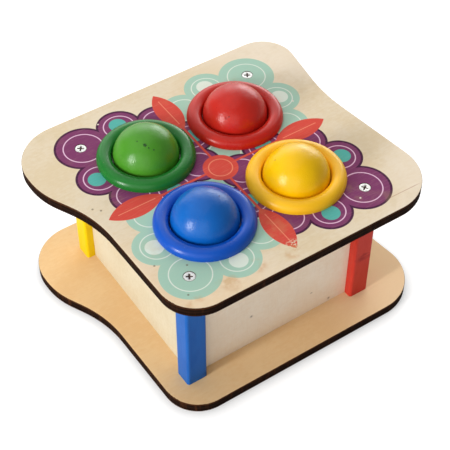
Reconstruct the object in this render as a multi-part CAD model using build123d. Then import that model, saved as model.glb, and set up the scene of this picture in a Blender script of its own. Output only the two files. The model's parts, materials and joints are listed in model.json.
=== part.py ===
from build123d import *
from math import cos, radians, sin, sqrt, tan
import os

# Ball pounding bench: a table of two waisted plywood boards on four painted posts.
# Four wooden balls sit in soft snap rings in the top board. A tap drives a ball through
# its ring on to a sloping chute, and it rolls out at the open north side.
# Millimetres. +Z is up, +X is east and +Y is north, the open side.
# The origin is midway between the posts, on the underside of the base board.

# Boards
board_thickness = 8.0
board_overhang_x = 35.75
board_overhang_y = 21.5
board_edge_ease = 0.4

# Each corner of the board's outline: its place as shares of half the length and half the
# width, and its rounding as a share of the width. The waists are corners turned inwards.
outline_shares = (
    (1.018, 1.008, 0.123),
    (0.912, 0.216, 0.650),
    (1.045, -1.000, 0.179),
    (-0.804, -0.989, 0.133),
    (-0.823, 0.065, 0.467),
    (-1.000, 0.476, 0.300),
    (-0.996, 1.010, 0.180),
)

# Posts
post_height = 94.2
post_width = 15.5
post_depth = 14.0
post_edge_radius = 2.0

# Walls, which stand in grooves in the posts, clear of the rings' barbs
wall_thickness = 4.0
wall_setback = 6.3
wall_gap_x = 3.65
wall_gap_y = 2.4
groove_depth = 4.0
groove_land = 1.1
groove_clearance = 0.1

# Chute
ramp_angle = 12.0
ramp_thickness = 5.0
ramp_toe = 1.5
ramp_side_clearance = 0.5
ramp_end_clearance = 0.3
block_depth = 12.0
block_clearance = 0.1

# Balls
ball_diameter = 45.0
ball_rise = 1.5

# Snap rings
ring_gap = 4.8
bead_width = 11.2
bead_height = 6.7
bead_turn = 45.0
mouth_gap = 0.95
mouth_ease = 0.59
mouth_drop = 1.4
grip = 0.4
seat_gap = 0.25
seat_height = 3.3
lip_land = 1.0
lip_flare = 1.2
lip_flare_drop = 1.6
neck_wall = 1.6
neck_clearance = 0.1
barb_width = 1.4
barb_land = 0.9
barb_lead = 1.8
barb_clearance = 0.1

# Wood screws
screw_length = 32.0
screw_shank = 3.9
screw_head = 7.7
screw_rim = 0.5
screw_point = 4.0
screw_sink = 0.2
screw_clearance = 0.25
pilot_clearance = 0.05

# What a cut runs past the face it starts from
overrun = 1.0

# The ring is drawn round the ball, from its narrow lip out to its bead
ball_radius = ball_diameter / 2
lip_radius = ball_radius - grip
bore_radius = lip_radius + lip_flare
neck_radius = bore_radius + neck_wall
hole_radius = neck_radius + neck_clearance
barb_radius = neck_radius + barb_width
mouth_radius = ball_radius + mouth_gap
shoulder_radius = mouth_radius + mouth_ease
bead_radius = bead_width / 2
bead_middle = shoulder_radius + bead_radius * cos(radians(bead_turn))
ring_diameter = 2 * (bead_middle + bead_radius)

# The rings set where the walls stand, and the walls set the posts
ring_pitch = ring_diameter + ring_gap
wall_face_x = ring_pitch / 2 + barb_radius + wall_gap_x + wall_thickness
wall_face_y = ring_pitch / 2 + barb_radius + wall_gap_y + wall_thickness
post_outer_x = wall_face_x + wall_setback
post_outer_y = wall_face_y + wall_setback
post_inner_x = post_outer_x - post_width
post_inner_y = post_outer_y - post_depth

# A south post has two grooves, with a land of wood between them
south_groove_depth = post_width - wall_setback - wall_thickness - groove_clearance - groove_land

# The boards reach past the posts
board_length = 2 * (post_outer_x + board_overhang_x)
board_width = 2 * (post_outer_y + board_overhang_y)

# Heights
base_top = board_thickness
top_underside = base_top + post_height
top_face = top_underside + board_thickness
ball_height = top_face + ball_rise

EAST = 1
WEST = -1
NORTH = 1
SOUTH = -1
CORNERS = {
    "yellow": (WEST, NORTH),
    "blue": (WEST, SOUTH),
    "red": (EAST, SOUTH),
    "green": (EAST, NORTH),
}
SEATS = {
    "green": (WEST, NORTH),
    "blue": (WEST, SOUTH),
    "yellow": (EAST, SOUTH),
    "red": (EAST, NORTH),
}


def post_centre(side_x, side_y):
    return side_x * (post_outer_x - post_width / 2), side_y * (post_outer_y - post_depth / 2)


def ring_centre(side_x, side_y):
    return side_x * ring_pitch / 2, side_y * ring_pitch / 2


def lying_box(low, high):
    """A box from its lowest corner to its highest."""
    size = [high[axis] - low[axis] for axis in range(3)]
    return Pos(*low) * Box(*size, align=(Align.MIN, Align.MIN, Align.MIN))


def upright_rod(radius, low, high):
    """A round rod on the Z axis, from one height to another."""
    return Pos(0, 0, low) * Cylinder(radius, high - low, align=(Align.CENTER, Align.CENTER, Align.MIN))


def board_outline():
    """The waisted outline that both boards share."""
    half_length = board_length / 2
    half_width = board_width / 2
    corners = [(x * half_length, y * half_width) for x, y, turn in outline_shares]
    radii = [turn * board_width for x, y, turn in outline_shares]
    return make_face(FilletPolyline(*corners, radius=radii, close=True))


def board_blank():
    """A board cut to the outline, with the sharpness taken off its edges."""
    blank = extrude(board_outline(), board_thickness)
    return fillet(blank.faces().filter_by(Axis.Z).edges(), board_edge_ease)


def screw(gap=0.0, shank_gap=0.0):
    """A countersunk screw, point down, its head's face at zero. A gap makes its hole's tool."""
    head = screw_head / 2 + gap
    shank = screw_shank / 2 + shank_gap
    cone = screw_rim + head - shank
    profile = Polyline(
        (0, 0),
        (head, 0),
        (head, -screw_rim),
        (shank, -cone),
        (shank, -(screw_length - screw_point)),
        (0, -screw_length),
        close=True,
    )
    return revolve(Plane.XZ * make_face(profile), Axis.Z)


def screw_hole():
    """What a screw's hole in a board takes away, with room above the head."""
    mouth = upright_rod(screw_head / 2 + pilot_clearance, -screw_sink, overrun)
    return mouth + Pos(0, 0, -screw_sink) * screw(pilot_clearance, screw_clearance)


def top_screw_places():
    return [Pos(*post_centre(*corner), top_face) for corner in CORNERS.values()]


def base_screw_places():
    turned = Rot(180, 0, 0)
    return [Pos(*post_centre(*corner), 0) * turned for corner in CORNERS.values()]


def seated_screws(places):
    return Compound([place * Pos(0, 0, -screw_sink) * screw() for place in places])


def make_base_board():
    board = board_blank()
    for place in base_screw_places():
        board -= place * screw_hole()
    return board


def make_top_board():
    board = Pos(0, 0, top_underside) * board_blank()
    for place in top_screw_places():
        board -= place * screw_hole()
    for seat in SEATS.values():
        hole = upright_rod(hole_radius, top_underside - overrun, top_face + overrun)
        board -= Pos(*ring_centre(*seat), 0) * hole
    return board


def groove_box(face, facing):
    """The span of a wall's groove across the post, from the wall's outer face inwards."""
    outer = facing * (face + groove_clearance)
    inner = facing * (face - wall_thickness - groove_clearance)
    return min(outer, inner), max(outer, inner)


def make_post(side_x, side_y):
    """A square stick with its long edges rounded, grooved where a wall stands in it."""
    x, y = post_centre(side_x, side_y)
    stick = extrude(RectangleRounded(post_width, post_depth, post_edge_radius), post_height)
    post = Pos(x, y, base_top) * stick
    low = base_top - overrun
    high = top_underside + overrun

    # East and west walls run north to south, so their grooves open along Y.
    near, far = groove_box(wall_face_x, side_x)
    mouth = side_y * (post_inner_y - overrun)
    floor = side_y * (post_inner_y + groove_depth)
    post -= lying_box((near, min(mouth, floor), low), (far, max(mouth, floor), high))

    # Only the south side has a wall from east to west.
    if side_y == SOUTH:
        near, far = groove_box(wall_face_y, side_y)
        mouth = side_x * (post_inner_x - overrun)
        floor = side_x * (post_inner_x + south_groove_depth)
        post -= lying_box((min(mouth, floor), near, low), (max(mouth, floor), far, high))

    pilot = Pos(0, 0, -screw_sink) * screw(0.0, pilot_clearance)
    post -= Pos(x, y, top_face) * pilot
    post -= Pos(x, y, 0) * Rot(180, 0, 0) * pilot
    return post


def make_side_wall(side_x):
    """A plain panel between a south post and a north post."""
    half = post_inner_y + groove_depth - groove_clearance
    outer = side_x * wall_face_x
    inner = side_x * (wall_face_x - wall_thickness)
    return lying_box((min(outer, inner), -half, base_top), (max(outer, inner), half, top_underside))


def make_south_wall():
    half = post_inner_x + south_groove_depth - groove_clearance
    return lying_box((-half, -wall_face_y, base_top), (half, wall_thickness - wall_face_y, top_underside))


def ramp_back():
    return wall_thickness - wall_face_y + ramp_end_clearance


def ramp_top(y):
    """Height of the chute's upper face at a place along Y."""
    return base_top + ramp_toe + (post_outer_y - y) * tan(radians(ramp_angle))


def ramp_underside(y):
    return ramp_top(y) - ramp_thickness / cos(radians(ramp_angle))


def across(profile, half_length):
    """A profile drawn in Y and Z, drawn out both ways along X."""
    return extrude(Plane.YZ * make_face(profile), half_length, both=True)


def make_ramp_board():
    """The chute: a plank bevelled at its toe, where it lies flat on the base board."""
    back = ramp_back()
    heel = post_outer_y - (ramp_thickness / cos(radians(ramp_angle)) - ramp_toe) / tan(radians(ramp_angle))
    profile = Polyline(
        (post_outer_y, base_top),
        (post_outer_y, ramp_top(post_outer_y)),
        (back, ramp_top(back)),
        (back, ramp_underside(back)),
        (heel, base_top),
        close=True,
    )
    return across(profile, post_inner_x - ramp_side_clearance)


def make_ramp_block():
    """The block under the chute's high end, planed to its slope."""
    back = wall_thickness - wall_face_y
    front = back + block_depth
    profile = Polyline(
        (back, base_top),
        (front, base_top),
        (front, ramp_underside(front) - block_clearance),
        (back, ramp_underside(back) - block_clearance),
        close=True,
    )
    return across(profile, post_inner_x - ramp_side_clearance)


def ring_section():
    """Half the section of a snap ring, with the board's top face at zero height."""
    bead_level = bead_height - bead_radius
    foot = bead_middle + sqrt(bead_radius**2 - bead_level**2)
    turn = radians(bead_turn)
    shoulder_point = (shoulder_radius, bead_level + bead_radius * sin(turn))
    inward = (-sin(turn), -cos(turn))
    mouth = (mouth_radius, shoulder_point[1] - mouth_drop)

    # The seat is part of a ball a little larger than the wooden one, and its lip is narrower.
    seat_radius = ball_radius + seat_gap
    lip_z = ball_rise - sqrt(seat_radius**2 - lip_radius**2)
    seat_top_z = lip_z + seat_height
    seat_top = (sqrt(seat_radius**2 - (ball_rise - seat_top_z) ** 2), seat_top_z)
    land_z = lip_z - lip_land

    barb_top = -board_thickness - barb_clearance
    barb_bottom = barb_top - barb_land
    foot_z = barb_bottom - barb_lead

    crown = ThreePointArc((foot, 0), (bead_middle, bead_height), shoulder_point)
    shoulder = TangentArc(shoulder_point, mouth, tangent=inward)
    throat = Line(mouth, seat_top)
    seat = RadiusArc(seat_top, (lip_radius, lip_z), seat_radius)
    rest = Polyline(
        (lip_radius, lip_z),
        (lip_radius, land_z),
        (bore_radius, land_z - lip_flare_drop),
        (bore_radius, foot_z),
        (neck_radius, foot_z),
        (barb_radius, barb_bottom),
        (barb_radius, barb_top),
        (neck_radius, barb_top),
        (neck_radius, 0),
        (foot, 0),
    )
    return make_face(Curve() + [crown, shoulder, throat, seat, rest])


def make_ring(side_x, side_y):
    """A soft ring that snaps into the board: bead above, neck through it, barb below."""
    ring = revolve(Plane.XZ * ring_section(), Axis.Z)
    return Pos(*ring_centre(side_x, side_y), top_face) * ring


def make_ball(side_x, side_y):
    return Pos(*ring_centre(side_x, side_y), ball_height) * Sphere(ball_radius)


def write(node, shape):
    export_step(shape, f"parts/{node}.step")


os.makedirs("parts", exist_ok=True)
write("base_board", make_base_board())
write("top_board", make_top_board())
for paint, corner in CORNERS.items():
    write(f"post_{paint}", make_post(*corner))
write("wall_west", make_side_wall(WEST))
write("wall_east", make_side_wall(EAST))
write("wall_south", make_south_wall())
write("ramp_board", make_ramp_board())
write("ramp_block", make_ramp_block())
for paint, seat in SEATS.items():
    write(f"ring_{paint}", make_ring(*seat))
    write(f"ball_{paint}", make_ball(*seat))
write("top_screws", seated_screws(top_screw_places()))
write("base_screws", seated_screws(base_screw_places()))
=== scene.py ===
# %% [markdown]
# A ball pounding bench
#
# The bench is a toddler's toy: two waisted plywood boards on four painted posts, with four wooden balls
# in soft snap rings. Its wooden and moulded pieces arrive finished in shape, as a frame that this script
# colours but doesn't move. What is left for Blender is the look: the ink on the board, the scorched
# edges, the paint, the soft rings, and the small screws, whose cross recess is modelled here.
# Everything is in metres, in the bench's own frame: +Z is up, +X is east, +Y is north, the open side.

# %% Load the frame
import json
import math
from functools import reduce

import bmesh
import bpy
from mathutils import Matrix, Vector

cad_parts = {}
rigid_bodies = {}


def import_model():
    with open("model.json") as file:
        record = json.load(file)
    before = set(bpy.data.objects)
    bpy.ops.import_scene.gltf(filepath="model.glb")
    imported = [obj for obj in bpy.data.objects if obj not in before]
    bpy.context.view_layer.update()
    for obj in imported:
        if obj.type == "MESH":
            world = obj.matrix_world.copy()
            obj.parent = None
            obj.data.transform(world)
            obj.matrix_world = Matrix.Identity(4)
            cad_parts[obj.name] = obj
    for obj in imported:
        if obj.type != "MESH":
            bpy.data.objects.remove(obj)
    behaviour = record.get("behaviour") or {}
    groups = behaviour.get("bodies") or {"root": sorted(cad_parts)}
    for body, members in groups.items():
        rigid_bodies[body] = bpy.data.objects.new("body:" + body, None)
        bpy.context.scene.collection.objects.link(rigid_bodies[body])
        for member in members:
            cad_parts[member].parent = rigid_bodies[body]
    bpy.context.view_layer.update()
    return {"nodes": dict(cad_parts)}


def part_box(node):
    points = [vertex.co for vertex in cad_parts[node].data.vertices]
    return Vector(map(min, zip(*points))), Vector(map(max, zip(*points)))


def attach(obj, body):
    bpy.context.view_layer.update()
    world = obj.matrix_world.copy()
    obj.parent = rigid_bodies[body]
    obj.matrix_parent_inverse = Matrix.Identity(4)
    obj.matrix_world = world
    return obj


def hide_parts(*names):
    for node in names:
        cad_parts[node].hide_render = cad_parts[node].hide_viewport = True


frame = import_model()
nodes = frame["nodes"]
print("pieces in the frame:", len(nodes))

# %% [markdown]
# The camera
#
# The photograph looks down on the bench from the south-west with a long lens. The camera's place was
# worked out from the screws, balls, rings and board edges, so it is written as a place in the bench's
# frame, a point that it looks at, a small roll and an angle of view. Aiming is one line of vector
# work: a camera looks along its own -Z, and to_track_quat turns that on to the wanted direction. Lamps
# shine along their own -Z too, so the same line aims them later.

# %% Place the camera
MM = 0.001
CAMERA_PLACE = Vector((-313.7, -469.8, 670.55)) * MM
CAMERA_AIM = Vector((-26.59, -44.82, 110.2)) * MM
CAMERA_ROLL = math.radians(0.176)
VIEW_ANGLE = math.radians(21.378)


def looking(direction):
    """The turn that makes a camera or a lamp look along a direction."""
    return direction.to_track_quat("-Z", "Y").to_matrix().to_4x4()


camera_data = bpy.data.cameras.new("photo_camera")
camera_data.sensor_fit = "HORIZONTAL"
camera_data.angle = VIEW_ANGLE
camera = bpy.data.objects.new("photo_camera", camera_data)
bpy.context.scene.collection.objects.link(camera)
turn = looking(CAMERA_AIM - CAMERA_PLACE)
camera.matrix_world = Matrix.Translation(CAMERA_PLACE) @ turn @ Matrix.Rotation(CAMERA_ROLL, 4, "Z")
bpy.context.scene.camera = camera
print("camera to the bench:", round((CAMERA_AIM - CAMERA_PLACE).length, 3), "m")

# %% [markdown]
# Sums in a shader
#
# A pattern such as a printed petal is a little geometry: distances, angles and thresholds. Wiring that
# up with Math nodes by hand is slow to write and hard to read. Here one small class wraps a socket, so
# that ordinary sums such as `1 - mask` or `x * x + y * y` add the nodes by themselves. A second class
# holds a node tree and has one method for every other node.

# %% A socket that can stand in a sum
class Wire:
    """A shader socket. Sums on it add Math nodes to its tree."""

    def __init__(self, wiring, socket):
        self.wiring = wiring
        self.socket = socket

    def also(self, output):
        """Another output of the same node."""
        return Wire(self.wiring, self.socket.node.outputs[output])

    def math(self, operation, *values):
        return self.wiring.node("ShaderNodeMath", {"operation": operation}, dict(enumerate(values)))

    def __add__(self, other):
        return self.math("ADD", self, other)

    def __radd__(self, other):
        return self.math("ADD", other, self)

    def __sub__(self, other):
        return self.math("SUBTRACT", self, other)

    def __rsub__(self, other):
        return self.math("SUBTRACT", other, self)

    def __mul__(self, other):
        return self.math("MULTIPLY", self, other)

    def __rmul__(self, other):
        return self.math("MULTIPLY", other, self)

    def __abs__(self):
        return self.math("ABSOLUTE", self)


# %% A node tree that is built node by node
class Wiring:
    """A node tree, with one method that adds any node."""

    def __init__(self, tree):
        self.tree = tree

    def node(self, kind, settings=None, inputs=None, output=0):
        """Adds a node, sets it up, then feeds its sockets. Returns the wanted output."""
        node = self.tree.nodes.new(kind)
        for name, value in (settings or {}).items():
            if name == "stops":
                self.set_stops(node.color_ramp, value)
            else:
                setattr(node, name, value)
        for name, value in (inputs or {}).items():
            self.feed(node.inputs[name], value)
        return Wire(self, node.outputs[output])

    def feed(self, socket, value):
        if isinstance(value, Wire):
            self.tree.links.new(value.socket, socket)
        else:
            socket.default_value = value

    def set_stops(self, ramp, stops):
        while len(ramp.elements) < len(stops):
            ramp.elements.new(1.0)
        for element, (place, colour) in zip(ramp.elements, stops):
            element.position = place
            element.color = colour


class Finish(Wiring):
    """One material with a Principled shader at its end."""

    def __init__(self, name, **constants):
        self.material = bpy.data.materials.new(name)
        self.material.use_nodes = True
        super().__init__(self.material.node_tree)
        self.shader = self.tree.nodes["Principled BSDF"]
        self.out(**constants)

    def out(self, **values):
        """Feeds the shader's own sockets, each with a wire or with one value for the whole surface."""
        for socket, value in values.items():
            self.feed(self.shader.inputs[socket.replace("_", " ")], value)


# %% [markdown]
# Colours, places and masks
#
# Colours are easiest to choose as they are seen on a screen, from 0 to 255, but a shader works with
# amounts of light, so each is converted once, in Python. Every pattern starts from the Object
# coordinates, scaled to millimetres, so that a size in a pattern can be held against a ruler. A mask is
# a number from 0 to 1 that says where one thing lies over another, and `ease` makes one from any value.

# %% Colours as they are seen
def seen(red, green, blue):
    """A colour as it is seen on a screen, from 0 to 255, turned into the light that a shader works with."""
    def light(level):
        level = level / 255
        return level / 12.92 if level <= 0.04045 else ((level + 0.055) / 1.055) ** 2.4
    return (light(red), light(green), light(blue), 1.0)


print("mid grey as light:", round(seen(128, 128, 128)[0], 3))

# %% Helpers for places and patterns
def millimetres(finish):
    """The point on the piece, in millimetres, as a vector."""
    point = finish.node("ShaderNodeTexCoord", output="Object")
    return finish.node("ShaderNodeVectorMath", {"operation": "SCALE"}, {0: point, "Scale": 1 / MM})


def split(finish, vector):
    """The three parts of a vector."""
    first = finish.node("ShaderNodeSeparateXYZ", None, {0: vector})
    return [first.also(axis) for axis in range(3)]


def stretched(finish, vector, scale, shift=(0.0, 0.0, 0.0)):
    """The vector with its axes scaled. A small scale draws a pattern out along that axis."""
    return finish.node("ShaderNodeMapping", None, {"Vector": vector, "Location": shift, "Scale": scale})


def away(finish, vector, place):
    """The distance from a place."""
    return finish.node("ShaderNodeVectorMath", {"operation": "DISTANCE"}, {0: vector, 1: place}, "Value")


def noise(finish, vector, size, detail=3.0, distortion=0.0):
    """Cloudy noise from 0 to 1, with lumps of about the given size."""
    inputs = {"Vector": vector, "Scale": 1 / size, "Detail": detail, "Distortion": distortion}
    return finish.node("ShaderNodeTexNoise", None, inputs)


# %% Helpers for masks and colours
def ease(finish, value, low, high):
    """0 below low, 1 above high, and a soft step between them. Low may be the larger one."""
    inputs = {"Value": value, "From Min": low, "From Max": high}
    if low > high:
        inputs = {"Value": value, "From Min": high, "From Max": low, "To Min": 1.0, "To Max": 0.0}
    return finish.node("ShaderNodeMapRange", {"interpolation_type": "SMOOTHSTEP"}, inputs)


def blend(finish, under, over, mask):
    """One colour over another, where the mask is 1. The numbers are the Mix node's colour sockets."""
    return finish.node("ShaderNodeMix", {"data_type": "RGBA"}, {0: mask, 6: under, 7: over}, 2)


def bumped(finish, height, depth):
    """Bump from a height, where a height of 1 stands for the depth, in metres."""
    return finish.node("ShaderNodeBump", None, {"Height": height, "Distance": depth, "Strength": 1.0})


def larger(a, b):
    return a.math("MAXIMUM", a, b)


def smaller(a, b):
    return a.math("MINIMUM", a, b)


def length(a, b):
    """The length of a flat arrow from its two parts."""
    return a.math("SQRT", a * a + b * b)


# %% Measure the top board
top_low, top_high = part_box("top_board")
print("top board from", round(top_low.z, 4), "to", round(top_high.z, 4), "m")

# %% [markdown]
# Bare birch
#
# The boards, the walls and the chute are birch ply. Rotary-cut birch is pale and smooth, with very fine
# short fibres, a slow cloudy figure, a light mottle and now and then a dark fleck. Each is a pattern of
# its own size. The fibres and the figure's streaks share one stretched set of coordinates, which draws
# round lumps out, and because it reads the object's own place the grain runs on straight across the
# whole sheet, as a veneer's does. The contrast is kept low, or the wood looks combed.

# %% Flecks and spots
DRAW_EDGE = 0.02
SMALLEST_FLECK = 0.35
FLECK_EDGE = 0.15
SPOT_CORE = 0.45


def flecks(finish, point, cell, size, share):
    """Small spots, at most one in each cell of a scattered grid. Share is how many cells have one."""
    near = finish.node("ShaderNodeTexVoronoi", None, {"Vector": point, "Scale": 1 / cell}, "Distance")
    draw = finish.node("ShaderNodeSeparateColor", None, {0: near.also("Color")}, "Red")
    picked = ease(finish, draw, 1 - share, 1 - share + DRAW_EDGE)
    radius = size * (SMALLEST_FLECK + draw.also("Green") * (1 - SMALLEST_FLECK))
    return picked * ease(finish, near * cell - radius, FLECK_EDGE, -FLECK_EDGE)


def spots(finish, across, up, places, radius):
    """A mask for small round spots at chosen places."""
    masks = [ease(finish, length(across - u, up - v), radius, radius * SPOT_CORE) for u, v in places]
    return reduce(larger, masks)


# %% Birch grain
ALONG_X = (0.07, 1.0, 1.0)
ALONG_Y = (1.0, 0.07, 1.0)
UPRIGHT = (1.0, 1.0, 0.07)
FIBRE_SIZE = 0.5
STREAK_SIZE = 3.2
MOTTLE_SIZE = 2.2
CLOUD_SIZE = 34.0
FIBRE_RELIEF = 0.02 * MM
FIBRE_BROWN = seen(146, 104, 64)
FLECK_BROWN = seen(120, 92, 66)


def birch(finish, point, pale, warm, grain, fibre):
    """Colour and fibres of a birch face. The grain runs along the axis with the small scale."""
    along = stretched(finish, point, grain)
    fibres = noise(finish, along, FIBRE_SIZE)
    streaks = noise(finish, along, STREAK_SIZE, distortion=0.8)
    mottle = noise(finish, stretched(finish, point, (0.6, 1.0, 1.0)), MOTTLE_SIZE)
    clouds = noise(finish, point, CLOUD_SIZE, detail=2.0)
    figure = ease(finish, streaks * 0.16 + mottle * 0.34 + clouds * 0.5, 0.38, 0.62)
    wood = blend(finish, pale, warm, figure)
    wood = blend(finish, wood, FIBRE_BROWN, ease(finish, fibres, 0.45, 0.75) * fibre)
    dark = flecks(finish, stretched(finish, point, (0.55, 1.0, 1.0)), cell=17.0, size=0.6, share=0.14)
    return blend(finish, wood, FLECK_BROWN, dark * 0.6), fibres


# %% [markdown]
# Scorched edges
#
# A laser cuts both boards, so their edges are charred dark brown, and only the faces stay pale. The
# finish tells face from edge by the direction that the surface faces: on a face the normal's upright
# part is near 1 or -1, and on an edge it is near 0. The five thin plies still show faintly in the char,
# because every second one has its end grain outwards and burns darker, and the top ply, where the laser
# went in, is only browned. A colour ramp over the board's thickness holds one stop for each ply.

# %% Charred edge of a board
BOARD_THICKNESS = (top_high.z - top_low.z) / MM
CHAR = seen(46, 25, 17), seen(15, 8, 5), seen(43, 25, 17), seen(15, 8, 5), seen(72, 41, 23)
BROWNED = seen(110, 62, 34)
SOOT = seen(20, 10, 7)
NORTHWARD = 1
UPWARD = 2
EDGE_BEGINS = 0.93
ALL_EDGE = 0.75
print("plies:", len(CHAR), "in", round(BOARD_THICKNESS, 1), "mm")


def facing(finish, axis):
    """One part of the surface's direction, from -1 to 1."""
    normal = finish.node("ShaderNodeTexCoord", output="Normal")
    return split(finish, normal)[axis]


def charred(finish, point, height, browned):
    """Colour of the laser-cut edge at a height above the board's underside, in millimetres."""
    stops = [((ply + 0.5) / len(CHAR), colour) for ply, colour in enumerate(CHAR)]
    plies = finish.node("ShaderNodeValToRGB", {"stops": stops}, {0: height * (1 / BOARD_THICKNESS)})
    streaks = noise(finish, stretched(finish, point, (1.0, 1.0, 0.1)), 1.6)
    scorch = noise(finish, point, 16.0, detail=2.0)
    burnt = blend(finish, plies, BROWNED, ease(finish, streaks, 0.5, 0.78) * browned)
    return blend(finish, burnt, SOOT, ease(finish, scorch, 0.4, 0.7) * 0.4)


def scorched(finish, point, wood, height, browned):
    """The wood, with char wherever the surface faces sideways."""
    edge = ease(finish, abs(facing(finish, UPWARD)), EDGE_BEGINS, ALL_EDGE)
    return blend(finish, wood, charred(finish, point, height, browned), edge)


# %% [markdown]
# The base board
#
# The base board is the same ply, a warmer sheet than the top one, with nothing printed on it. Its
# east end is lighter, which is painted light: a slow step along x brightens the colour there. Bare wood
# is matt, so the shader's mirror part is nearly off: the char would turn grey under even a faint sheen.

# %% Base board
BOARD_SHEEN = 0.02
BARE_ROUGHNESS = 0.6
BASE_PALE = seen(236, 202, 154)
BASE_WARM = seen(232, 194, 144)
BASE_EAST_PAINTED_LIGHT = seen(242, 215, 178)


def base_board_finish():
    finish = Finish("plywood", Specular_IOR_Level=BOARD_SHEEN)
    point = millimetres(finish)
    x, _, z = split(finish, point)
    wood, fibres = birch(finish, point, BASE_PALE, BASE_WARM, ALONG_X, fibre=0.05)
    # Painted light: the east end is made lighter, where the lamps leave it dimmer.
    wood = blend(finish, wood, BASE_EAST_PAINTED_LIGHT, ease(finish, x, 20.0, 90.0) * 0.7)
    colour = scorched(finish, point, wood, z, browned=0.4)
    relief = bumped(finish, fibres, FIBRE_RELIEF)
    finish.out(Base_Color=colour, Normal=relief, Roughness=BARE_ROUGHNESS + fibres * 0.1)
    return finish.material


base_ply = base_board_finish()
print("nodes in the base board's finish:", len(base_ply.node_tree.nodes))

# %% [markdown]
# The printed top board
#
# The top board carries a print in flat ink. Here it is a garden pattern: each ring is the middle of a
# round-petalled flower, two of them plum and two mint, with coral leaves between them. One petal is a
# circle, and a whole flower is that one circle seen eight times: the angle round the ring is wrapped
# into one eighth of a turn, and the distance to the petal's middle is then taken once. Two flowers of a
# colour are found at once by folding the board over its diagonal. The petal that points to the board's
# corner is larger, and the screw sits in the middle of it.

# %% Shapes in ink
INK_EDGE = 0.14


def petal_distance(u, v, count, reach):
    """Distance to the middle of the nearest of a ring of petals round a centre."""
    radius = length(u, v)
    half_step = math.pi / count
    angle = u.math("WRAP", u.math("ARCTAN2", v, u), half_step, -half_step)
    return u.math("SQRT", radius * radius + reach * reach - radius * u.math("COSINE", angle) * (2 * reach))


def inside(finish, distance, radius):
    """1 inside a shape's edge and 0 outside, with the soft edge of printed ink."""
    return ease(finish, distance - radius, INK_EDGE, -INK_EDGE)


def line(finish, distance, radius, width):
    """A thin printed line that follows an edge."""
    return inside(finish, abs(distance - radius), width / 2)


# %% One flower
PETALS = 8
PETAL_REACH = 36.0
PETAL_RADIUS = 16.0
CORNER_REACH = 31.0
CORNER_RADIUS = 20.0
RIM_WIDTH = 1.6
LOOP_WIDTH = 0.8
LOOP_INSET = 5.2
CORNER_LOOP_INSET = 6.4
DOT_REACH = 38.0
DOT_RADIUS = 6.2


def flower(finish, colour, u, v, side, inks):
    """One flower in ink: its petals, their rim, a thin loop in each, and a dot in every second one."""
    petal, rim, loop, dot = inks
    small = petal_distance(u, v, PETALS, PETAL_REACH) - PETAL_RADIUS
    big = length(u - side * CORNER_REACH, v - CORNER_REACH) - CORNER_RADIUS
    edge = smaller(small, big)
    colour = blend(finish, colour, petal, inside(finish, edge, 0.0))
    colour = blend(finish, colour, rim, line(finish, edge, -RIM_WIDTH / 2, RIM_WIDTH))
    small_loops = line(finish, small, -LOOP_INSET, LOOP_WIDTH) * inside(finish, 0 - big, 0.0)
    loops = larger(small_loops, line(finish, big, -CORNER_LOOP_INSET, LOOP_WIDTH))
    colour = blend(finish, colour, loop, loops)
    dots = petal_distance(u, v, PETALS / 2, DOT_REACH)
    return blend(finish, colour, dot, inside(finish, dots, DOT_RADIUS))


# %% One leaf
LEAF_START = 45.0
LEAF_END = 86.0
LEAF_HALF_WIDTH = 8.5


def leaf(finish, along, across):
    """A pointed leaf: the part that two circles share."""
    half = (LEAF_END - LEAF_START) / 2
    radius = (half * half + LEAF_HALF_WIDTH * LEAF_HALF_WIDTH) / (2 * LEAF_HALF_WIDTH)
    reach = length(along - (LEAF_START + half), across + (radius - LEAF_HALF_WIDTH))
    return inside(finish, reach, radius)


# %% The whole print
# Of each flower: the colours of its petals, rim, loops and dots.
PLUM = seen(132, 66, 108), seen(80, 42, 72), seen(238, 196, 222), seen(94, 184, 174)
MINT = seen(172, 208, 188), seen(172, 208, 188), seen(226, 236, 222), seen(226, 236, 222)
CORAL = seen(222, 84, 72)
CORAL_LIGHT = seen(240, 138, 110)
STEM_END = 60.0
STEM_WIDTH = 1.8
VEIN_MIDDLE = 65.0
VEIN_LENGTH = 28.0
VEIN_WIDTH = 0.7
HUB_RADIUS = 12.0
HUB_LOOP_RADIUS = 8.0
RING_PITCH = 72.0


def printed(finish, colour, x, y):
    """The print over the bare wood: four flowers, then a cross of four leaves on stems."""
    half_pitch = RING_PITCH / 2
    mint_u = larger(x, 0 - y) - half_pitch
    mint_v = larger(y, 0 - x) - half_pitch
    plum_u = smaller(x, y) + half_pitch
    plum_v = larger(x, y) - half_pitch
    colour = flower(finish, colour, mint_u, mint_v, 1, MINT)
    colour = flower(finish, colour, plum_u, plum_v, -1, PLUM)
    along = larger(abs(x), abs(y))
    across = smaller(abs(x), abs(y))
    hub = length(x, y)
    stem = inside(finish, across, STEM_WIDTH / 2) * inside(finish, along, STEM_END)
    sprig = larger(leaf(finish, along, across), stem)
    colour = blend(finish, colour, CORAL, larger(sprig, inside(finish, hub, HUB_RADIUS)))
    vein_end = inside(finish, abs(along - VEIN_MIDDLE), VEIN_LENGTH / 2)
    vein = inside(finish, across, VEIN_WIDTH / 2) * vein_end
    return blend(finish, colour, CORAL_LIGHT, larger(vein, line(finish, hub, HUB_LOOP_RADIUS, LOOP_WIDTH)))
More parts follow.
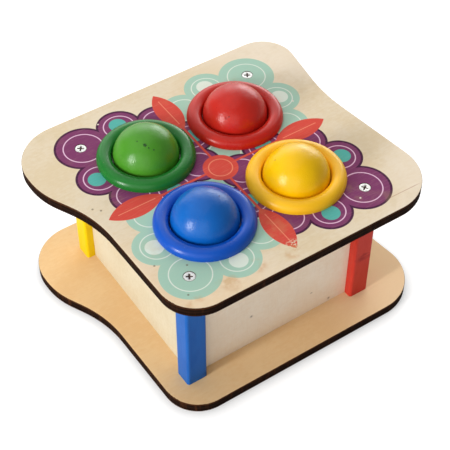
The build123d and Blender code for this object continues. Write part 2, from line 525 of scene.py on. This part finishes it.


# %% [markdown]
# Wear on the top board
#
# The board has been used. There are brown stains near its south edge, the grime of hands, a thin mineral
# line in the veneer, a few dark flecks, specks where the ink has chipped off and a leaf tip that is
# rubbed bare. Round each screw a dark line is painted shade, where the countersink is a hair wider than
# the head. The grime and the smallest chips are spread over the whole face. Each of the others is a mask
# at a chosen place, broken up by noise where its edge is ragged.

# %% Stains and flecks
STAINS = (-77.0, -88.0), (-50.0, -87.0), (-29.0, -84.5), (-4.0, -87.0)
STAIN_RADIUS = 8.0
STAIN_BROWN = seen(210, 154, 92)
GRIME = seen(196, 172, 116)
DARK_FLECKS = (-90.0, 14.0), (-86.0, 10.0), (-82.0, -49.0), (-77.0, -80.0), (-64.8, -59.6)
DARK_FLECK_RADIUS = 1.0
DARK_FLECK = seen(110, 92, 72)
MINERAL_LINE_START = Vector((103.0, -85.2))
MINERAL_LINE_END = Vector((58.0, -84.3))


def mineral_line(finish, x, y):
    """A thin straight streak from one point to another, fading at its ends."""
    start, end = MINERAL_LINE_START, MINERAL_LINE_END
    way = (end - start).normalized()
    along = (x - start.x) * way.x + (y - start.y) * way.y
    across = (x - start.x) * way.y - (y - start.y) * way.x
    reach = (end - start).length / 2
    return ease(finish, abs(across), 0.5, 0.1) * ease(finish, abs(along - reach), reach, reach * 0.7)


def soiled(finish, point, x, y, colour):
    """The top face with its stains, the grime of hands and dark flecks."""
    clouds = noise(finish, point, 8.0)
    stained = spots(finish, x, y, STAINS, STAIN_RADIUS) * ease(finish, clouds, 0.36, 0.62)
    colour = blend(finish, colour, STAIN_BROWN, stained * 0.42)
    handled = ease(finish, noise(finish, point, 26.0), 0.5, 0.75)
    colour = blend(finish, colour, GRIME, handled * ease(finish, clouds, 0.4, 0.6) * 0.2)
    return blend(finish, colour, DARK_FLECK, spots(finish, x, y, DARK_FLECKS, DARK_FLECK_RADIUS) * 0.65)


# %% Chips, the rubbed tip and the painted shade round the screws
INK_CHIPS = (79.3, 26.8), (60.0, -74.0), (-47.0, 82.0)
CHIP_RADIUS = 0.9
CHIP_PALE = seen(238, 226, 214)
RUBBED_TIP = Vector((0.0, -84.0))
SCREW_HOLE_RADIUS = 4.0
SCREW_SHADE_WIDTH = 0.4
SCREW_GAP_SHADE = seen(84, 70, 60)


def chipped(finish, point, x, y, colour, wood):
    """The top face with specks and a leaf tip worn bare, and a painted shadow line round each screw."""
    colour = blend(finish, colour, CHIP_PALE, spots(finish, x, y, INK_CHIPS, CHIP_RADIUS))
    tip = length(x - RUBBED_TIP.x, y - RUBBED_TIP.y)
    rubbed = ease(finish, tip, 8.0, 2.0) * ease(finish, noise(finish, point, 1.6), 0.5, 0.58)
    colour = blend(finish, colour, wood, rubbed)
    low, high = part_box("post_red")
    screw = (low + high) / 2 / MM
    hole = length(abs(x) - abs(screw.x), abs(y) - abs(screw.y))
    # Painted shadow: a dark line on the board round each screw head, where shade falls in the gap.
    gap_shade = line(finish, hole, SCREW_HOLE_RADIUS, SCREW_SHADE_WIDTH)
    return blend(finish, colour, SCREW_GAP_SHADE, gap_shade * 0.65)


# %% [markdown]
# The top board's finish
#
# The ink lies on the wood and lets the grain through where it is thin, so the finish is built as the
# board was: first the sheet, then the print, then the wear. The sheet is warmer and lighter towards its
# south-west corner, partly its own tone and partly painted light, and paler in its two east corners,
# which is painted light. The print is on the upper face alone, and the char comes last, because the
# laser cut the board after it was printed.

# %% Top board
TOP_PALE = seen(237, 221, 194)
TOP_WARM = seen(231, 211, 176)
WARM_CORNER_AND_PAINTED_LIGHT = seen(252, 218, 178)
PAINTED_LIGHT_CORNER = seen(254, 240, 222)
MINERAL_BROWN = seen(186, 134, 102)


def top_sheet(finish, point, x, y):
    """The bare sheet of the top board, with painted light in its corners, and its fibres."""
    wood, fibres = birch(finish, point, TOP_PALE, TOP_WARM, ALONG_X, fibre=0.05)
    # Warmer and lighter towards the south-west corner: partly the sheet's own tone, partly painted light
    # lifting the shade there.
    wood = blend(finish, wood, WARM_CORNER_AND_PAINTED_LIGHT, ease(finish, x + y, -85.0, -160.0) * 0.4)
    # Painted light: the two east corners are made paler, where the lamps leave them dimmer.
    east_corner_light = larger(ease(finish, x - y, 130.0, 190.0), ease(finish, x + y, 110.0, 170.0))
    wood = blend(finish, wood, PAINTED_LIGHT_CORNER, east_corner_light * 0.5)
    return blend(finish, wood, MINERAL_BROWN, mineral_line(finish, x, y) * 0.55), fibres


def top_board_finish():
    finish = Finish("printed_plywood", Specular_IOR_Level=BOARD_SHEEN)
    point = millimetres(finish)
    x, y, z = split(finish, point)
    wood, fibres = top_sheet(finish, point, x, y)
    spread = stretched(finish, point, (0.8, 1.0, 1.0), shift=(7.0, 3.0, 0.0))
    chips = flecks(finish, spread, cell=24.0, size=0.7, share=0.1)
    face = printed(finish, wood, x, y)
    face = blend(finish, face, wood, chips * 0.9 + ease(finish, fibres, 0.5, 0.8) * 0.1)
    face = soiled(finish, point, x, y, face)
    face = chipped(finish, point, x, y, face, wood)
    wood = blend(finish, wood, face, ease(finish, facing(finish, UPWARD), 0.9, 0.97))
    colour = scorched(finish, point, wood, z - top_low.z / MM, browned=0.2)
    relief = bumped(finish, fibres, FIBRE_RELIEF)
    finish.out(Base_Color=colour, Normal=relief, Roughness=BARE_ROUGHNESS + fibres * 0.1)
    return finish.material


printed_ply = top_board_finish()
print("nodes in the top board's finish:", len(printed_ply.node_tree.nodes))

# %% [markdown]
# Walls and chute
#
# The walls are bare, creamy panels, and the chute inside is the same ply as the boards. The panels'
# grain stands upright, so their pattern is drawn out along z, and the chute's runs down its slope. The
# south wall has two pin knots, which are given by how far east and how high they are.

# %% Walls and chute
PIN_KNOTS = (-21.1, 37.3), (46.1, 11.1)
KNOT_RADIUS = 1.0
KNOT_HALO_RADIUS = 2.0
KNOT_BROWN = seen(96, 70, 50)
KNOT_HALO = seen(150, 116, 84)
PANEL_SHEEN = 0.08


def wall_finish(name, pale, warm, grain, knots=()):
    finish = Finish(name, Roughness=BARE_ROUGHNESS, Specular_IOR_Level=PANEL_SHEEN)
    point = millimetres(finish)
    x, _, z = split(finish, point)
    wood, fibres = birch(finish, point, pale, warm, grain, fibre=0.045)
    if knots:
        wood = blend(finish, wood, KNOT_HALO, spots(finish, x, z, knots, KNOT_HALO_RADIUS) * 0.25)
        wood = blend(finish, wood, KNOT_BROWN, spots(finish, x, z, knots, KNOT_RADIUS) * 0.5)
    finish.out(Base_Color=wood, Normal=bumped(finish, fibres, FIBRE_RELIEF))
    return finish.material


# %% [markdown]
# Painted posts
#
# The posts are sawn sticks under one coat of bright semi-gloss paint. The coat is thin, so the wood's
# fibres still lift it a little, and it is a little deeper in colour where it has pooled. Small hands
# reach between the boards and leave a smudge on the sides that face north and south, so the smudge is
# kept to those sides and to one height on each post.

# %% Post paint
POST_SHEEN = 0.08
POST_FIBRE_RELIEF = 0.08 * MM
SMUDGE_REACH = 7.0


def post_finish(name, colour, deep, smudge, height):
    finish = Finish(name, Specular_IOR_Level=POST_SHEEN)
    point = millimetres(finish)
    z = split(finish, point)[UPWARD]
    fibres = noise(finish, stretched(finish, point, (1.0, 1.0, 0.05)), 0.8)
    pools = noise(finish, stretched(finish, point, (1.0, 1.0, 0.3)), 6.0)
    paint = blend(finish, colour, deep, ease(finish, pools, 0.4, 0.75) * 0.5)
    marks = noise(finish, stretched(finish, point, (1.0, 1.0, 2.2)), 9.0)
    held = ease(finish, abs(facing(finish, NORTHWARD)), 0.5, 0.95)
    touched = ease(finish, abs(z - height), SMUDGE_REACH, 1.0) * ease(finish, marks, 0.4, 0.66) * held
    paint = blend(finish, paint, smudge, touched * 0.5)
    relief = bumped(finish, fibres, POST_FIBRE_RELIEF)
    finish.out(Base_Color=paint, Normal=relief, Roughness=0.3 + pools * 0.12 + touched * 0.15)
    return finish.material


# %% [markdown]
# Gloss balls
#
# The balls are turned wood, dipped in gloss paint. The coat pulls into a faint orange peel, which breaks
# up the bright marks of the lamps. The hammer leaves small dark scuffs, close together where it fell and
# scattered round it: a fine noise is lifted near each blow, and cut off high. Each ball is struck in its
# own places, which are given from its middle, with how far the scuffs reach. The red ball also has one
# dent, which is a small pit in the bump's height.

# %% Ball paint
BALL_GLOSS = 0.31
PEEL_SIZE = 0.8
COAT_RELIEF = 0.06 * MM
DENT_RADIUS = 1.3


def scuffs(finish, point, centre, blows):
    """Ragged marks round the places where a hammer fell."""
    masks = [ease(finish, away(finish, point, centre + Vector(place)), reach, reach * 0.2)
             for place, reach in blows]
    ragged = noise(finish, stretched(finish, point, (0.6, 1.0, 1.4)), 0.42, distortion=0.3)
    return ease(finish, ragged * 2.0 + reduce(larger, masks) * 0.9, 1.55, 1.75)


def ball_finish(name, colour, deep, scuff, centre, blows, dent):
    finish = Finish(name, Specular_IOR_Level=BALL_GLOSS)
    point = millimetres(finish)
    peel = noise(finish, point, PEEL_SIZE, detail=1.0)
    marks = scuffs(finish, point, centre, blows)
    pin = flecks(finish, point, cell=7.0, size=0.35, share=0.2)
    pools = noise(finish, point, 14.0, detail=2.0)
    paint = blend(finish, colour, deep, ease(finish, pools, 0.3, 0.75) * 0.5)
    paint = blend(finish, paint, scuff, marks * 0.95 + pin * 0.35)
    height = peel * 2.2 + (1 - marks) * 0.4
    if dent:
        struck = ease(finish, away(finish, point, centre + Vector(dent)), DENT_RADIUS, DENT_RADIUS - 0.7)
        paint = blend(finish, paint, scuff, struck * 0.35)
        height = height - struck * 3.0
    relief = bumped(finish, height, COAT_RELIEF)
    finish.out(Base_Color=paint, Normal=relief, Roughness=0.25 + marks * 0.3)
    return finish.material


# %% [markdown]
# Soft rings
#
# The rings are moulded in a soft, satin plastic that is coloured all through. It has no grain, only a
# fine matt bloom, and dust that gathers in the mouth, close to the ball. The rings aren't all equally
# dusty or equally dull, so each brings its own share of dust and its own roughness.

# %% Ring plastic
RING_GLOSS = 0.3
MOUTH_DUST_REACH = 25.5
SKIN_RELIEF = 0.02 * MM
DUST = seen(196, 186, 156)


def ring_finish(name, colour, bloom, centre, dust_share, dull):
    finish = Finish(name, Specular_IOR_Level=RING_GLOSS)
    point = millimetres(finish)
    x, y, _ = split(finish, point)
    skin = noise(finish, point, 0.5, detail=2.0)
    cloud = noise(finish, point, 12.0)
    plastic = blend(finish, colour, bloom, ease(finish, cloud, 0.35, 0.8) * 0.3)
    grains = flecks(finish, point, cell=5.0, size=0.32, share=dust_share)
    reach = length(x - centre.x, y - centre.y)
    drift = ease(finish, reach, MOUTH_DUST_REACH, MOUTH_DUST_REACH - 1.5) * ease(finish, cloud, 0.56, 0.66)
    powder = drift * ease(finish, noise(finish, point, 0.8), 0.45, 0.6)
    plastic = blend(finish, plastic, DUST, grains * 0.5 + powder * dust_share)
    finish.out(Base_Color=plastic, Normal=bumped(finish, skin, SKIN_RELIEF), Roughness=dull + cloud * 0.1)
    return finish.material


# %% [markdown]
# Giving each piece its finish
#
# A piece of the frame already has a material slot, so a finish only takes the place of what the slot
# holds, and the mesh isn't touched. The three walls are of one birch in two colours, which are painted
# light and shade: the south one is paler, to lift its shade, and the panel of the west and east ones
# darker, painted shade against the strong lamp in the west. The painted and moulded pieces come in four
# colours each, so their colours stand in tables, and a loop looks up where the piece is and hands that
# to its finish.

# %% Put the finishes on the boards and walls
def wear_finish(node, material):
    """Gives a piece of the frame its finish."""
    for place in nodes[node].material_slots:
        place.material = material


wear_finish("base_board", base_ply)
wear_finish("top_board", printed_ply)
# One birch in two colours: the west and east panel is darker, painted shade against the lamp in the west,
# and the south panel paler, painted light lifting its shade.
side_panel_painted_shade = wall_finish("side_panel_painted_shade", seen(212, 201, 175), seen(206, 192, 162), UPRIGHT)
end_panel_painted_light = wall_finish("end_panel_painted_light", seen(255, 240, 219), seen(251, 232, 207), UPRIGHT, PIN_KNOTS)
chute_ply = wall_finish("chute_ply", seen(236, 210, 166), seen(226, 194, 146), ALONG_Y)
wear_finish("wall_west", side_panel_painted_shade)
wear_finish("wall_east", side_panel_painted_shade)
wear_finish("wall_south", end_panel_painted_light)
wear_finish("ramp_board", chute_ply)
wear_finish("ramp_block", chute_ply)
print("materials so far:", len(bpy.data.materials))

# %% Put the finishes on the posts
# Of each post: its colour, the deeper colour, the smudge's colour and how high the smudge is.
POST_PAINTS = {
    "yellow": (seen(234, 199, 18), seen(228, 184, 11), seen(196, 146, 28), 70.0),
    "blue": (seen(33, 98, 178), seen(23, 85, 165), seen(20, 60, 126), 12.0),
    "red": (seen(203, 61, 48), seen(192, 51, 38), seen(118, 30, 46), 47.7),
    "green": (seen(70, 150, 50), seen(58, 136, 42), seen(34, 90, 34), 30.0),
}
for paint, (colour, deep, smudge, height) in POST_PAINTS.items():
    wear_finish(f"post_{paint}", post_finish(f"{paint}_post_paint", colour, deep, smudge, height))
print("posts painted:", len(POST_PAINTS))

# %% Put the finishes on the balls
# Of each ball: its colour, the deeper colour and the scuffs' colour.
BALL_PAINTS = {
    "yellow": (seen(250, 198, 2), seen(248, 189, 0), seen(184, 130, 20)),
    "blue": (seen(9, 101, 189), seen(5, 88, 174), seen(8, 44, 104)),
    "red": (seen(200, 40, 28), seen(184, 27, 18), seen(116, 16, 16)),
    "green": (seen(79, 150, 40), seen(63, 135, 29), seen(20, 54, 16)),
}
HAMMER_BLOWS = {
    "yellow": [((-13.2, 6.5, 17.0), 1.1)],
    "blue": [((9.0, -3.0, 20.4), 1.2)],
    "red": [((-13.0, -11.9, 13.9), 1.2)],
    "green": [((-8.4, -4.0, 20.5), 0.9), ((-5.4, -9.2, 19.8), 2.4), ((-4.1, -11.9, 18.6), 1.1),
              ((-1.7, -14.2, 17.4), 1.3)],
}
DENTS = {"red": (-14.5, -11.1, 13.1)}
for paint, (colour, deep, scuff) in BALL_PAINTS.items():
    low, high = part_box(f"ball_{paint}")
    centre = (low + high) / 2 / MM
    blows = HAMMER_BLOWS[paint]
    coat = ball_finish(f"{paint}_ball_paint", colour, deep, scuff, centre, blows, DENTS.get(paint))
    wear_finish(f"ball_{paint}", coat)
print("balls painted:", len(BALL_PAINTS))

# %% Put the finishes on the rings
# Of each ring: its colour, the bloom's colour, its share of dust and its roughness.
RING_PLASTICS = {
    "yellow": (seen(255, 194, 27), seen(255, 204, 47), 0.08, 0.29),
    "blue": (seen(8, 80, 187), seen(14, 94, 195), 0.35, 0.24),
    "red": (seen(190, 31, 18), seen(204, 47, 29), 0.1, 0.24),
    "green": (seen(29, 116, 41), seen(43, 131, 55), 0.15, 0.22),
}
for paint, (colour, bloom, dust_share, dull) in RING_PLASTICS.items():
    low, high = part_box(f"ring_{paint}")
    centre = (low + high) / 2 / MM
    plastic = ring_finish(f"{paint}_ring_plastic", colour, bloom, centre, dust_share, dull)
    wear_finish(f"ring_{paint}", plastic)
print("rings coloured:", len(RING_PLASTICS))

# %% [markdown]
# Screws
#
# Eight countersunk screws with a cross recess hold the boards to the posts. One is modelled and then
# copied. A screw is round, so it starts as a short cylinder, and its underside is drawn down and in by
# extruding its bottom face: first the cone, then the shank, then the point. The recess is cut by a
# Boolean with two crossed wedges, because that is how the real one is made: a punch is driven in.
# Operators act on all that is selected, so everything is deselected before each new piece.

# %% Helpers for modelling by hand
def deselect_all():
    for piece in bpy.context.view_layer.objects:
        piece.select_set(False)


def take(piece):
    """Makes one piece the selected and active one."""
    deselect_all()
    piece.select_set(True)
    bpy.context.view_layer.objects.active = piece


def pick_bottom(piece):
    """In edit mode, selects the faces that look straight down and nothing else."""
    bpy.ops.mesh.select_mode(type="FACE")
    shape = bmesh.from_edit_mesh(piece.data)
    for face in shape.faces:
        face.select_set(face.normal.z < -0.9)
    shape.select_flush_mode()
    bmesh.update_edit_mesh(piece.data)


def extrude_down(depth, narrower):
    """Draws the selected bottom face down and scales it in."""
    bpy.ops.mesh.extrude_region_move(TRANSFORM_OT_translate={"value": (0.0, 0.0, -depth)})
    bpy.ops.transform.resize(value=(narrower, narrower, 1.0))


def settle(piece):
    """Puts a piece's place, turn and size into its mesh."""
    take(piece)
    bpy.ops.object.transform_apply(location=True, rotation=True, scale=True)


# %% Model one screw
HEAD_RADIUS = 3.85 * MM
RIM = 0.5 * MM
SHANK_RADIUS = 1.95 * MM
SHANK_END = 28.0 * MM
SCREW_LENGTH = 32.0 * MM
POINT_SHARE = 0.05
ROUND_SIDES = 48


def model_screw():
    deselect_all()
    bpy.ops.mesh.primitive_cylinder_add(
        vertices=ROUND_SIDES, radius=HEAD_RADIUS, depth=RIM, location=(0.0, 0.0, -RIM / 2))
    screw = bpy.context.active_object
    screw.name = "screw"
    settle(screw)
    bpy.ops.object.mode_set(mode="EDIT")
    pick_bottom(screw)
    cone = HEAD_RADIUS - SHANK_RADIUS
    extrude_down(cone, SHANK_RADIUS / HEAD_RADIUS)
    extrude_down(SHANK_END - RIM - cone, 1.0)
    extrude_down(SCREW_LENGTH - SHANK_END, POINT_SHARE)
    bpy.ops.object.mode_set(mode="OBJECT")
    return screw


screw = model_screw()
print("screw blank:", len(screw.data.polygons), "faces")

# %% Punch the cross recess
RECESS_LENGTH = 7.4 * MM
RECESS_WIDTH = 2.0 * MM
RECESS_DEPTH = 2.0 * MM
WEDGE_FOOT = 0.3
BURR = 0.12 * MM
BURR_ANGLE = math.radians(40)
SMOOTH_ANGLE = math.radians(35)


def add_wedge(name, size_x, size_y):
    """One blade of the punch: a box that narrows towards its foot."""
    deselect_all()
    bpy.ops.mesh.primitive_cube_add(size=1.0, location=(0.0, 0.0, 0.0))
    wedge = bpy.context.active_object
    wedge.name = name
    wedge.scale = (size_x, size_y, 2 * RECESS_DEPTH)
    settle(wedge)
    bpy.ops.object.mode_set(mode="EDIT")
    pick_bottom(wedge)
    bpy.ops.transform.resize(value=(WEDGE_FOOT, WEDGE_FOOT, 1.0))
    bpy.ops.object.mode_set(mode="OBJECT")
    return wedge


def cut_with(screw, blade):
    """Cuts the blade's shape out of the screw and throws the blade away."""
    take(screw)
    cut = screw.modifiers.new("cut", "BOOLEAN")
    cut.operation = "DIFFERENCE"
    cut.object = blade
    cut.solver = "EXACT"
    bpy.ops.object.modifier_apply(modifier=cut.name)
    bpy.data.objects.remove(blade)


def soften_edges(screw):
    """Rounds the sharp edges a little, as tumbling does, and smooths the turned faces."""
    soften = screw.modifiers.new("soften", "BEVEL")
    soften.width = BURR
    soften.segments = 2
    soften.limit_method = "ANGLE"
    soften.angle_limit = BURR_ANGLE
    bpy.ops.object.modifier_apply(modifier=soften.name)
    bpy.ops.object.shade_smooth_by_angle(angle=SMOOTH_ANGLE)


blades = (add_wedge("blade_a", RECESS_LENGTH, RECESS_WIDTH),
          add_wedge("blade_b", RECESS_WIDTH, RECESS_LENGTH))
for blade in blades:
    cut_with(screw, blade)
soften_edges(screw)
print("finished screw:", len(screw.data.polygons), "faces")

# %% [markdown]
# Screw steel
#
# The screws are zinc plated, with a soft shine and no colour of their own. The recess is darker and
# duller the deeper it goes, partly old dirt and partly painted shade, so the finish counts how deep a
# point lies below the flat of its head. The heads above and below the bench share the finish, because
# the depth is counted from whichever board face is nearer.

# %% Screw finish
SINK = 0.2
DIRT_AND_SHADE_BEGINS = SINK + 0.1
ALL_DIRT_AND_SHADE = SINK + 0.35
ZINC = seen(218, 219, 216)
DULL_ZINC = seen(172, 166, 158)
RECESS_DIRT_AND_SHADE = seen(112, 92, 86)


def screw_finish():
    finish = Finish("screw_steel")
    point = millimetres(finish)
    z = split(finish, point)[UPWARD]
    rub = noise(finish, point, 0.6)
    half = top_high.z / MM / 2
    depth = half - abs(z - half)
    # Darker and duller deeper in the recess: partly dirt, partly painted shade.
    dirt_and_shade = ease(finish, depth, DIRT_AND_SHADE_BEGINS, ALL_DIRT_AND_SHADE)
    colour = blend(finish, ZINC, DULL_ZINC, ease(finish, rub, 0.5, 0.75))
    colour = blend(finish, colour, RECESS_DIRT_AND_SHADE, dirt_and_shade)
    finish.out(Base_Color=colour, Metallic=0.7 - dirt_and_shade * 0.7, Roughness=0.42 + rub * 0.2)
    return finish.material


# %% [markdown]
# Driving the screws
#
# Each post takes one screw from above and one from below. No two heads stop at the same angle, which is
# one of the small things that make a row of screws look driven and not stamped. A copy gets its own
# mesh, with its place and turn in it, and then stands in for the plain screws of the frame.

# %% Drive the screws
TURNS = {"yellow": 54.0, "blue": 60.0, "red": 34.0, "green": 58.0}
EXTRA_TURN_BELOW = 25.0


def drive(screw, name, place, degrees, upside_down, steel):
    """A copy of the screw, with its own mesh, at its place in a post."""
    copy = bpy.data.objects.new(name, screw.data.copy())
    bpy.context.scene.collection.objects.link(copy)
    flip = Matrix.Rotation(math.pi, 4, "X") if upside_down else Matrix.Identity(4)
    turn = Matrix.Rotation(math.radians(degrees), 4, "Z")
    copy.data.transform(Matrix.Translation(place) @ flip @ turn)
    copy.data.materials.clear()
    copy.data.materials.append(steel)
    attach(copy, "bench")
    return copy


steel = screw_finish()
for paint, degrees in TURNS.items():
    low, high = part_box(f"post_{paint}")
    post = (low + high) / 2
    top_place = Vector((post.x, post.y, top_high.z - SINK * MM))
    base_place = Vector((post.x, post.y, SINK * MM))
    top = drive(screw, f"top_screw_{paint}", top_place, degrees, False, steel)
    base = drive(screw, f"base_screw_{paint}", base_place, degrees + EXTRA_TURN_BELOW, True, steel)
    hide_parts("top_screws")
    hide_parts("base_screws")
bpy.data.objects.remove(screw)
print("screws driven:", 2 * len(TURNS))

# %% [markdown]
# The floor
#
# The bench stands on plain white paper that runs on into a white background. The white that the camera
# sees comes from the paper's own glow, and not from more light on the bench, so the pale wood doesn't
# wash out. Light Path tells which rays come from the camera, and which from a gloss surface that mirrors
# the paper. The glow is held back a little near the bench, so that the lamps' soft shadow stays, and it
# rises to full white farther out. Where the floor meets the board the glow is dimmed more, which is a
# painted contact shadow. Under the glow the camera and the mirrors see a darker paper, so that the light
# of the lamps and the glow together don't go past white.

# %% Floor
FLOOR_SIZE = 4.0
FLOOR_DROP = 0.2 * MM
BLACK = seen(0, 0, 0)
WHITE = seen(255, 255, 255)
PAPER = (0.95, 0.95, 0.95, 1.0)
SHADED_PAPER = (0.5, 0.5, 0.5, 1.0)
OWN_GLOW = 0.8
MIRRORED_GLOW = 0.3
CONTACT_SHADOW_REACH = 13.0 * MM
NEAR_FLOOR = 350.0
FAR_FLOOR = 900.0


def floor_finish():
    """White paper, which glows by itself for the camera and for mirrors, less close to the bench, with a
    painted contact shadow.
    """
    finish = Finish("white_floor", Roughness=0.9, Specular_IOR_Level=0.0)
    direct = finish.node("ShaderNodeLightPath", output="Is Camera Ray")
    mirrored = direct.also("Is Glossy Ray")
    # Painted contact shadow: the glow is dimmed where the floor is near the bench's edges.
    contact_shadow = finish.node("ShaderNodeAmbientOcclusion", {"samples": 16}, {"Distance": CONTACT_SHADOW_REACH}, "AO")
    paper = blend(finish, PAPER, SHADED_PAPER, larger(direct, mirrored))
    x, y, _ = split(finish, millimetres(finish))
    far = ease(finish, length(x, y), NEAR_FLOOR, FAR_FLOOR)
    amount = direct * contact_shadow * (OWN_GLOW + far * (1 - OWN_GLOW)) + mirrored * contact_shadow * MIRRORED_GLOW
    finish.out(Base_Color=paper, Emission_Color=blend(finish, BLACK, WHITE, amount), Emission_Strength=1.0)
    return finish.material


deselect_all()
bpy.ops.mesh.primitive_plane_add(size=FLOOR_SIZE, location=(0.0, 0.0, -FLOOR_DROP))
floor = bpy.context.active_object
floor.name = "floor"
settle(floor)
floor.data.materials.append(floor_finish())
print("floor:", FLOOR_SIZE, "m square")

# %% [markdown]
# The lamps
#
# Soft boxes are placed by compass bearing and height above the horizon, as one would carry them round a
# table. The bright mark on each ball is the image of a small, strong one in the west. A wide, weak one
# in the south-west lights the sides that face the camera. Three behind the bench, two in the north-east
# and one in the north, give the balls' far sides their sheen and the top board its light, and one
# overhead fills the rest.

# %% Soft boxes
BENCH_MIDDLE = Vector((0.0, 0.0, 0.08))


def toward(bearing, height):
    """The direction of a compass bearing, with north along +Y and east along +X, at a height in degrees."""
    bearing, height = math.radians(bearing), math.radians(height)
    flat = math.cos(height)
    return Vector((math.sin(bearing) * flat, math.cos(bearing) * flat, math.sin(height)))


def soft_box(name, bearing, height, distance, size, power):
    """A rectangular lamp that faces the bench, its size in metres and its power in watts."""
    lamp = bpy.data.lights.new(name, "AREA")
    lamp.shape = "RECTANGLE"
    lamp.size, lamp.size_y = size
    lamp.energy = power
    light = bpy.data.objects.new(name, lamp)
    bpy.context.scene.collection.objects.link(light)
    way = toward(bearing, height)
    light.matrix_world = Matrix.Translation(BENCH_MIDDLE + way * distance) @ looking(-way)
    light.visible_camera = False


soft_box("window_box", bearing=265.0, height=17.0, distance=2.2, size=(0.34, 0.7), power=34.0)
soft_box("south_west_box", bearing=230.0, height=25.0, distance=2.2, size=(2.2, 1.8), power=14.5)
soft_box("back_low_box", bearing=57.0, height=10.0, distance=2.2, size=(1.3, 0.9), power=14.0)
soft_box("back_high_box", bearing=48.0, height=32.0, distance=2.2, size=(2.6, 1.6), power=20.0)
soft_box("north_box", bearing=18.0, height=20.0, distance=2.2, size=(2.8, 1.4), power=16.0)
soft_box("overhead_box", bearing=330.0, height=70.0, distance=2.0, size=(2.6, 2.6), power=15.0)
print("lamps:", len(bpy.data.lights))

# %% [markdown]
# The room
#
# The background is white for the camera, and a dim room for the light that falls on the bench, so it
# fills the shadows without flattening them. Gloss surfaces see some of the white, as they do of the
# floor's, so that metal has a background to mirror.

# %% Room
ROOM_LIGHT = 0.13

world = bpy.data.worlds.new("studio")
bpy.context.scene.world = world
world.use_nodes = True
room = Wiring(world.node_tree)
direct = room.node("ShaderNodeLightPath", output="Is Camera Ray")
white = larger(direct, direct.also("Is Glossy Ray") * MIRRORED_GLOW)
strength = room.node("ShaderNodeMapRange", None, {"Value": white, "To Min": ROOM_LIGHT, "To Max": 1.0})
backdrop = world.node_tree.nodes["Background"]
room.feed(backdrop.inputs["Color"], WHITE)
room.feed(backdrop.inputs["Strength"], strength)
bpy.context.scene.view_settings.view_transform = "Standard"
print("light of the room on the bench:", ROOM_LIGHT)
